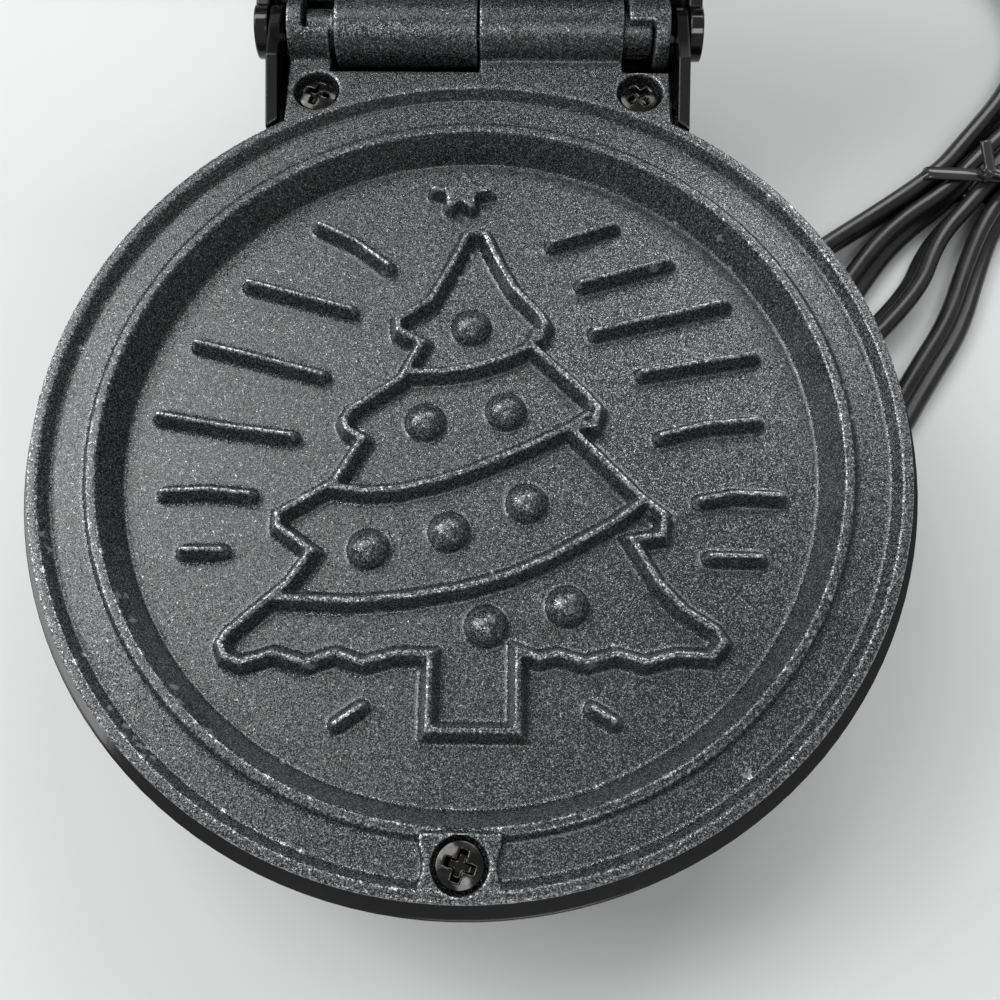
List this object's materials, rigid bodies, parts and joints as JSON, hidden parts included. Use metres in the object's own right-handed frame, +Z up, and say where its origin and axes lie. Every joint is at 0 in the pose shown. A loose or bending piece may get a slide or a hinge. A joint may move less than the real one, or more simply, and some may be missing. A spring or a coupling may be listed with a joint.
{
  "type": "mini waffle maker",
  "caption": "Round table-top waffle maker with a fir tree baking plate, a hinged domed lid leaning open, and a flat cord tied in a hank.",
  "frame": {"origin": "middle of the object's footprint on the table, with the lid open and the cord left out", "axes": "+X to the right along the hinge, +Y to the back where the lid leans, +Z up"},
  "size_m": [0.2124, 0.2414, 0.1579],
  "materials": {
    "housing": "high gloss black",
    "bottom": "fine matt texture",
    "plate": "dark grey sparkling non-stick coat",
    "screw": "dark nickel",
    "heater": "dull sheath",
    "sheet": "bright rolled sheet",
    "foot": "matt",
    "inner_plastic": "moulded cream",
    "wire": "glass sleeve",
    "cord": "satin",
    "tie": "satin",
    "blade": "plated",
    "lens": "clear red"
  },
  "bodies": {
    "base": {"base_housing": "housing", "bottom_cover": "bottom", "bottom_cover_screws": "screw", "feet": "foot", "lower_plate": "plate", "lower_plate_screws": "screw", "lower_heater": "heater", "lower_heater_clamp": "sheet", "lower_clamp_screw": "screw", "lower_reflector": "sheet", "thermostat": "inner_plastic", "thermal_fuse": "sheet", "terminal_block": "inner_plastic", "base_wires": "wire", "strain_relief": "cord", "power_cord_lead": "cord", "power_cord_hank": "cord", "cord_tie": "tie", "plug_body": "cord", "plug_blades": "blade"},
    "lid": {"lid_housing": "housing", "lid_handle": "housing", "lid_handle_screws": "screw", "upper_plate": "plate", "upper_plate_screws": "screw", "upper_heater": "heater", "upper_heater_clamp": "sheet", "upper_clamp_screw": "screw", "upper_reflector": "sheet", "lid_wires": "wire", "indicator_lens": "lens", "indicator_lamp": "inner_plastic"}
  },
  "joints": [
    {"name": "lid_hinge", "type": "hinge", "parent": "base", "child": "lid", "pos_m": [0, 0.0168, 0.0342], "axis": [1, 0, 0], "range_deg": [0, 125]}
  ]
}
